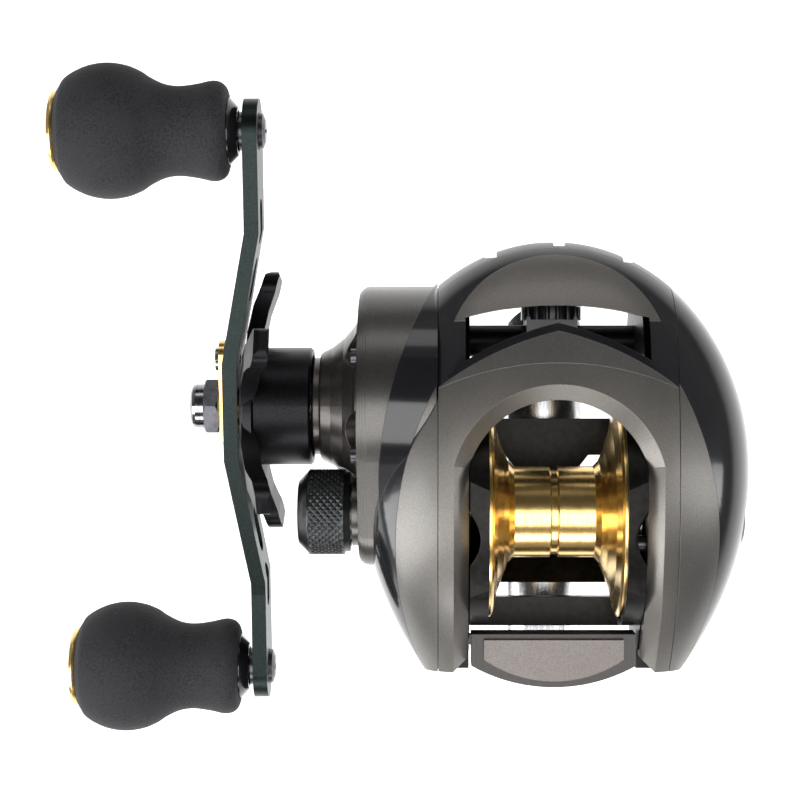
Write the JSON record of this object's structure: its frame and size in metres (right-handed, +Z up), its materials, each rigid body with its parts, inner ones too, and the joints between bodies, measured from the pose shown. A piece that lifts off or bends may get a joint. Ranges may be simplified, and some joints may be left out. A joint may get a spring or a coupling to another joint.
{
  "type": "baitcasting reel",
  "caption": "Low-profile baitcasting reel with a cranked double handle, star drag, gold spool, level wind and thumb bar, on a rod foot.",
  "frame": {"origin": "middle of the flat strip under the reel foot, where it sits on the rod", "axes": "+X along the spool axis towards the palm side, +Y forward along the rod, +Z up from the rod"},
  "size_m": [0.113, 0.11, 0.0456],
  "materials": {
    "graphite_plastic": "gloss black",
    "cover_taupe": "satin metallic taupe",
    "cover_grey": "satin metallic grey",
    "gunmetal": "satin gunmetal",
    "frame_black": "black anodised",
    "gold": "gold anodised, polished",
    "arm_green": "dark anodised",
    "star_black": "satin black anodised",
    "foam": "matte closed-cell foam",
    "core_black": "gloss black",
    "chrome": "polished",
    "dark_steel": "darkened",
    "steel": "machined",
    "brass": "machined",
    "fibre": "woven carbon fibre discs with steel discs",
    "nylon": "moulded",
    "ceramic": "polished insert"
  },
  "bodies": {
    "frame": {"frame_body": "frame_black", "top_cover": "cover_taupe", "nose_panel": "cover_grey", "hood": "graphite_plastic", "front_lip": "cover_grey", "brow_band": "cover_taupe", "palm_trim": "cover_grey", "palm_side_plate": "graphite_plastic", "gear_trim": "cover_grey", "gear_side_plate": "graphite_plastic", "gear_cover": "gunmetal", "drive_boss": "gunmetal", "reel_foot": "steel", "foot_rivets": "steel", "worm_guard": "frame_black", "shaft_bushes": "nylon", "guide_rod": "steel", "yoke_pins": "steel", "drive_boss_bearing": "steel", "roller_bearing": "steel", "spool_bearings": "steel", "brake_housing": "nylon", "side_plate_screws": "dark_steel"},
    "crank": {"drive_shaft": "steel", "shaft_tip": "chrome", "main_gear": "brass", "drag_washers": "fibre", "drag_sleeve": "steel", "spring_washers": "steel", "worm_drive_gear": "nylon", "handle_arm": "arm_green", "handle_nut": "dark_steel", "nut_retainer": "gold", "retainer_screw": "chrome", "arm_spacer": "brass", "knob_spindles": "steel"},
    "star": {"star_drag": "star_black"},
    "knob_front": {"knob_core_front": "core_black", "knob_grip_front": "foam", "knob_cap_front": "gold"},
    "knob_rear": {"knob_core_rear": "core_black", "knob_grip_rear": "foam", "knob_cap_rear": "gold"},
    "spool_body": {"spool": "gold", "spool_shaft": "steel", "brake_rotor": "steel"},
    "thumb": {"thumb_bar": "core_black", "thumb_pad": "cover_taupe"},
    "cam": {"clutch_cam": "steel"},
    "yoke": {"clutch_yoke": "nylon"},
    "pinion_body": {"pinion": "brass"},
    "worm": {"worm_shaft": "steel", "worm_gear": "nylon"},
    "guide": {"line_guide": "core_black", "line_ring": "ceramic", "pawl": "brass"},
    "tension": {"tension_knob": "star_black"},
    "dial": {"brake_dial": "graphite_plastic"},
    "carrier": {"magnet_carrier": "nylon", "brake_magnets": "chrome"}
  },
  "joints": [
    {"name": "crank_turn", "type": "hinge", "parent": "frame", "child": "crank", "pos_m": [0, 0.0127, 0.02227], "axis": [1, 0, 0], "continuous": true},
    {"name": "star_turn", "type": "hinge", "parent": "crank", "child": "star", "pos_m": [0, 0.0127, 0.02227], "axis": [1, 0, 0], "range_deg": [-360, 360]},
    {"name": "front_knob_spin", "type": "hinge", "parent": "crank", "child": "knob_front", "pos_m": [0, 0.0568, 0.03124], "axis": [1, 0, 0], "continuous": true},
    {"name": "rear_knob_spin", "type": "hinge", "parent": "crank", "child": "knob_rear", "pos_m": [0, -0.0314, 0.0133], "axis": [1, 0, 0], "continuous": true},
    {"name": "spool_spin", "type": "hinge", "parent": "frame", "child": "spool_body", "pos_m": [0, -0.0045, 0.026], "axis": [1, 0, 0], "continuous": true},
    {"name": "thumb_press", "type": "slide", "parent": "frame", "child": "thumb", "axis": [0, 0, -1], "range_m": [0, 0.0045]},
    {"name": "cam_turn", "type": "hinge", "parent": "frame", "child": "cam", "pos_m": [0, -0.0045, 0.026], "axis": [1, 0, 0], "range_deg": [0, 13]},
    {"name": "yoke_slide", "type": "slide", "parent": "frame", "child": "yoke", "axis": [-1, 0, 0], "range_m": [0, 0.0016]},
    {"name": "pinion_spin", "type": "hinge", "parent": "yoke", "child": "pinion_body", "pos_m": [0, -0.0045, 0.026], "axis": [1, 0, 0], "continuous": true},
    {"name": "worm_spin", "type": "hinge", "parent": "frame", "child": "worm", "pos_m": [0, 0.0235, 0.02018], "axis": [1, 0, 0], "continuous": true},
    {"name": "line_guide_slide", "type": "slide", "parent": "frame", "child": "guide", "axis": [1, 0, 0], "range_m": [-0.0083, 0.0083]},
    {"name": "tension_turn", "type": "hinge", "parent": "frame", "child": "tension", "pos_m": [0, -0.0045, 0.026], "axis": [1, 0, 0], "range_deg": [-180, 180]},
    {"name": "brake_dial_turn", "type": "hinge", "parent": "frame", "child": "dial", "pos_m": [0, -0.0045, 0.026], "axis": [1, 0, 0], "range_deg": [0, 180]},
    {"name": "magnet_slide", "type": "slide", "parent": "frame", "child": "carrier", "axis": [1, 0, 0], "range_m": [0, 0.0018]}
  ],
  "couplings": [
    {"joint": "spool_spin", "follows": "crank_turn", "ratio": -6.3333},
    {"joint": "pinion_spin", "follows": "crank_turn", "ratio": -6.3333},
    {"joint": "worm_spin", "follows": "crank_turn", "ratio": -0.83333},
    {"joint": "cam_turn", "follows": "thumb_press", "rad_per_m": 50.4},
    {"joint": "yoke_slide", "follows": "thumb_press", "ratio": 0.3555},
    {"joint": "brake_dial_turn", "follows": "magnet_slide", "rad_per_m": 1745}
  ]
}
